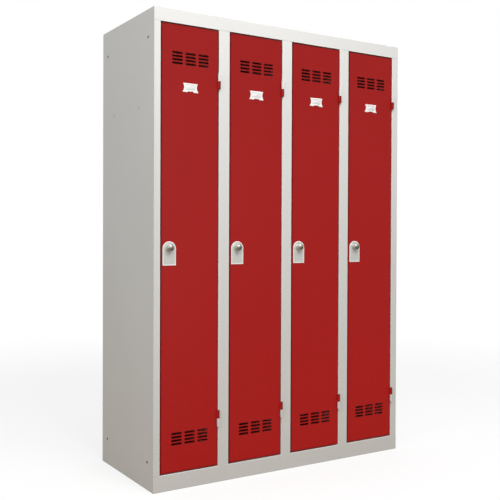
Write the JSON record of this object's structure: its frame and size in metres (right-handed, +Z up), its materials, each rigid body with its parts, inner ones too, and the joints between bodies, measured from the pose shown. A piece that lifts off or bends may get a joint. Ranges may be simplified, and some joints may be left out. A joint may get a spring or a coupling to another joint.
{
  "type": "metal locker",
  "caption": "Free-standing steel clothes locker with side-by-side hinged doors, cam locks, ventilation slots, label holders, hat shelves and coat rails.",
  "frame": {"origin": "centre of the overall box at floor level", "axes": "+Z up, +X to the right as seen facing the doors, +Y from the doors to the back"},
  "size_m": [1.2, 0.524, 1.8],
  "materials": {
    "grey_paint": "light grey satin powder coat",
    "red_paint": "red satin powder coat",
    "zinc": "zinc plated",
    "chrome": "polished chrome plate",
    "lock_plate": "satin silver",
    "label": "white moulded plastic",
    "rubber": "black rubber",
    "hook_plastic": "black moulded plastic",
    "bracket_plastic": "dark grey moulded plastic"
  },
  "bodies": {
    "carcass": {"left_side_panel": "grey_paint", "right_side_panel": "grey_paint", "back_panel": "grey_paint", "roof_panel": "grey_paint", "floor_panel": "grey_paint", "header_rail": "grey_paint", "plinth_rail": "grey_paint", "partition_1": "grey_paint", "partition_2": "grey_paint", "partition_3": "grey_paint", "mullion_1": "grey_paint", "mullion_2": "grey_paint", "mullion_3": "grey_paint", "hat_shelves": "grey_paint", "frame_hinge_knuckles": "grey_paint", "coat_rails": "zinc", "rail_brackets": "bracket_plastic", "hinge_pins": "zinc", "door_buffers": "rubber"},
    "door_1": {"door_1_panel": "red_paint", "door_1_stiffener": "red_paint", "door_1_hinge_knuckles": "red_paint", "door_1_lock_plate": "lock_plate", "door_1_lock_body": "chrome", "door_1_lock_nut": "zinc", "door_1_label_holder": "label"},
    "lock_1": {"lock_1_plug": "chrome", "lock_1_cam": "zinc"},
    "hook_1": {"coat_hook_1": "hook_plastic"},
    "door_2": {"door_2_panel": "red_paint", "door_2_stiffener": "red_paint", "door_2_hinge_knuckles": "red_paint", "door_2_lock_plate": "lock_plate", "door_2_lock_body": "chrome", "door_2_lock_nut": "zinc", "door_2_label_holder": "label"},
    "lock_2": {"lock_2_plug": "chrome", "lock_2_cam": "zinc"},
    "hook_2": {"coat_hook_2": "hook_plastic"},
    "door_3": {"door_3_panel": "red_paint", "door_3_stiffener": "red_paint", "door_3_hinge_knuckles": "red_paint", "door_3_lock_plate": "lock_plate", "door_3_lock_body": "chrome", "door_3_lock_nut": "zinc", "door_3_label_holder": "label"},
    "lock_3": {"lock_3_plug": "chrome", "lock_3_cam": "zinc"},
    "hook_3": {"coat_hook_3": "hook_plastic"},
    "door_4": {"door_4_panel": "red_paint", "door_4_stiffener": "red_paint", "door_4_hinge_knuckles": "red_paint", "door_4_lock_plate": "lock_plate", "door_4_lock_body": "chrome", "door_4_lock_nut": "zinc", "door_4_label_holder": "label"},
    "lock_4": {"lock_4_plug": "chrome", "lock_4_cam": "zinc"},
    "hook_4": {"coat_hook_4": "hook_plastic"}
  },
  "joints": [
    {"name": "door_1_hinge", "type": "hinge", "parent": "carcass", "child": "door_1", "pos_m": [-0.3268, -0.2442, 0.9], "axis": [0, 0, 1], "range_deg": [0, 110]},
    {"name": "lock_1_turn", "type": "hinge", "parent": "door_1", "child": "lock_1", "pos_m": [-0.5371, -0.238, 0.9104], "axis": [0, -1, 0], "range_deg": [0, 90]},
    {"name": "hook_1_slide", "type": "slide", "parent": "carcass", "child": "hook_1", "axis": [1, 0, 0], "range_m": [-0.125, 0.125]},
    {"name": "door_2_hinge", "type": "hinge", "parent": "carcass", "child": "door_2", "pos_m": [-0.0298, -0.2442, 0.9], "axis": [0, 0, 1], "range_deg": [0, 110]},
    {"name": "lock_2_turn", "type": "hinge", "parent": "door_2", "child": "lock_2", "pos_m": [-0.2401, -0.238, 0.9104], "axis": [0, -1, 0], "range_deg": [0, 90]},
    {"name": "hook_2_slide", "type": "slide", "parent": "carcass", "child": "hook_2", "axis": [1, 0, 0], "range_m": [-0.125, 0.125]},
    {"name": "door_3_hinge", "type": "hinge", "parent": "carcass", "child": "door_3", "pos_m": [0.2672, -0.2442, 0.9], "axis": [0, 0, 1], "range_deg": [0, 110]},
    {"name": "lock_3_turn", "type": "hinge", "parent": "door_3", "child": "lock_3", "pos_m": [0.0569, -0.238, 0.9104], "axis": [0, -1, 0], "range_deg": [0, 90]},
    {"name": "hook_3_slide", "type": "slide", "parent": "carcass", "child": "hook_3", "axis": [1, 0, 0], "range_m": [-0.125, 0.125]},
    {"name": "door_4_hinge", "type": "hinge", "parent": "carcass", "child": "door_4", "pos_m": [0.5642, -0.2442, 0.9], "axis": [0, 0, 1], "range_deg": [0, 110]},
    {"name": "lock_4_turn", "type": "hinge", "parent": "door_4", "child": "lock_4", "pos_m": [0.3539, -0.238, 0.9104], "axis": [0, -1, 0], "range_deg": [0, 90]},
    {"name": "hook_4_slide", "type": "slide", "parent": "carcass", "child": "hook_4", "axis": [1, 0, 0], "range_m": [-0.125, 0.125]}
  ]
}
